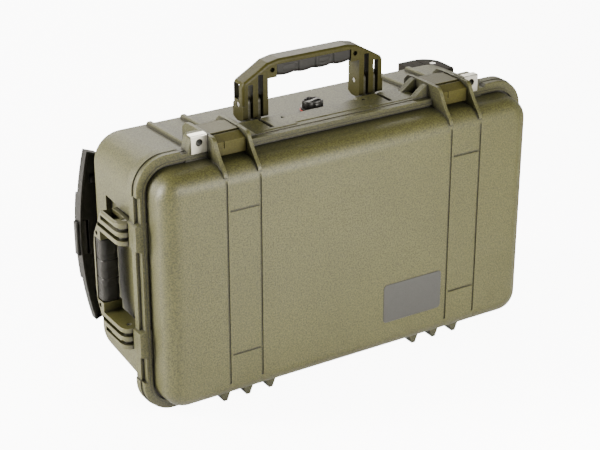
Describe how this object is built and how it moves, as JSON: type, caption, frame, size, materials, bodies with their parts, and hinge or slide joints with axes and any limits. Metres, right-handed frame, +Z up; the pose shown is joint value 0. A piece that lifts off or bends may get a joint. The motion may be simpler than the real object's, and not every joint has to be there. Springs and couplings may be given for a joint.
{
  "type": "wheeled hard case with latches and a hinged lid",
  "caption": "Rigid moulded laptop case with a hinged lid, throw latches, folding handles, a pull-out trolley handle, wheels, padlock holes, a pressure valve and fitted foam.",
  "frame": {"origin": "middle of the underside of the overall box, level with the tips of the feet", "axes": "+X along the case towards the wheels, +Y from the lid to the base's back, +Z up from the hinge side to the handle side"},
  "size_m": [0.559, 0.2294, 0.3885],
  "materials": {
    "shell": "finely textured moulding",
    "handle": "finely textured moulding",
    "latch": "satin moulding",
    "dark_plastic": "satin black moulding",
    "grey_plastic": "matte dark grey moulding",
    "plate_grey": "smooth bare plate",
    "grip_rubber": "soft moulded rubber",
    "seal_rubber": "foamed rubber",
    "red_rubber": "red rubber ring",
    "steel": "stainless",
    "aluminium": "anodised tube",
    "tread": "solid rubber tread",
    "foam": "soft grey foam"
  },
  "bodies": {
    "base": {"base_shell": "shell", "hinge_pins": "steel", "latch_pins": "steel", "top_handle_pins": "steel", "side_handle_pins": "steel", "valve_body": "dark_plastic", "valve_seal": "red_rubber", "trolley_outer_tubes": "aluminium", "trolley_guide": "dark_plastic", "trolley_end_bracket": "dark_plastic", "trolley_screws": "steel", "housing_screws": "steel", "foam_floor": "foam", "foam_insert": "foam", "wheel_housing_upper": "grey_plastic", "wheel_housing_lower": "grey_plastic", "wheel_axle_upper": "steel", "wheel_axle_lower": "steel"},
    "lid": {"lid_shell": "shell", "lid_seal": "seal_rubber", "name_plate": "plate_grey", "padlock_plate_left": "steel", "padlock_plate_right": "steel", "lid_foam": "foam"},
    "latch_left": {"latch_claw_left": "latch", "lever_pin_left": "steel"},
    "latch_right": {"latch_claw_right": "latch", "lever_pin_right": "steel"},
    "lever_left": {"latch_lever_left": "latch"},
    "lever_right": {"latch_lever_right": "latch"},
    "top_handle": {"top_handle_frame": "handle", "top_handle_grip": "grip_rubber"},
    "side_handle": {"side_handle_frame": "handle", "side_handle_grip": "grip_rubber"},
    "valve": {"valve_knob": "dark_plastic"},
    "trolley_middle": {"trolley_middle_tubes": "aluminium"},
    "trolley_inner": {"trolley_inner_tubes": "aluminium", "trolley_grip": "dark_plastic"},
    "trolley_release": {"trolley_button": "dark_plastic"},
    "wheel_upper": {"wheel_tyre_upper": "tread", "wheel_hub_upper": "dark_plastic", "wheel_bearings_upper": "steel"},
    "wheel_lower": {"wheel_tyre_lower": "tread", "wheel_hub_lower": "dark_plastic", "wheel_bearings_lower": "steel"}
  },
  "joints": [
    {"name": "lid_hinge", "type": "hinge", "parent": "base", "child": "lid", "pos_m": [0, -0.066, 0.0046], "axis": [1, 0, 0], "range_deg": [0, 100]},
    {"name": "latch_left_swing", "type": "hinge", "parent": "base", "child": "latch_left", "pos_m": [-0.15475, -0.0345, 0.328], "axis": [-1, 0, 0], "range_deg": [0, 100]},
    {"name": "latch_right_swing", "type": "hinge", "parent": "base", "child": "latch_right", "pos_m": [0.15475, -0.0345, 0.328], "axis": [-1, 0, 0], "range_deg": [0, 100]},
    {"name": "lever_left_swing", "type": "hinge", "parent": "latch_left", "child": "lever_left", "pos_m": [-0.15475, -0.0725, 0.331], "axis": [-1, 0, 0], "range_deg": [0, 45]},
    {"name": "lever_right_swing", "type": "hinge", "parent": "latch_right", "child": "lever_right", "pos_m": [0.15475, -0.0725, 0.331], "axis": [-1, 0, 0], "range_deg": [0, 45]},
    {"name": "top_handle_fold", "type": "hinge", "parent": "base", "child": "top_handle", "pos_m": [0, -0.004, 0.338], "axis": [1, 0, 0], "range_deg": [0, 90]},
    {"name": "side_handle_fold", "type": "hinge", "parent": "base", "child": "side_handle", "pos_m": [-0.26997, -0.0425, 0.165], "axis": [0, 0, 1], "range_deg": [0, 90]},
    {"name": "valve_turn", "type": "hinge", "parent": "base", "child": "valve", "pos_m": [0, -0.012, 0.32], "axis": [0, 0, 1], "range_deg": [0, 180]},
    {"name": "trolley_pull", "type": "slide", "parent": "base", "child": "trolley_inner", "axis": [-1, 0, 0], "range_m": [0, 0.4]},
    {"name": "trolley_middle_pull", "type": "slide", "parent": "base", "child": "trolley_middle", "axis": [-1, 0, 0], "range_m": [0, 0.2]},
    {"name": "trolley_release_push", "type": "slide", "parent": "trolley_inner", "child": "trolley_release", "axis": [1, 0, 0], "range_m": [0, 0.003], "stiffness_N_per_m": 800},
    {"name": "wheel_upper_spin", "type": "hinge", "parent": "base", "child": "wheel_upper", "pos_m": [0.2535, 0.091, 0.2795], "axis": [0, 0, 1], "continuous": true},
    {"name": "wheel_lower_spin", "type": "hinge", "parent": "base", "child": "wheel_lower", "pos_m": [0.2535, 0.091, 0.0505], "axis": [0, 0, 1], "continuous": true}
  ],
  "couplings": [
    {"joint": "trolley_middle_pull", "follows": "trolley_pull", "ratio": 0.5}
  ]
}
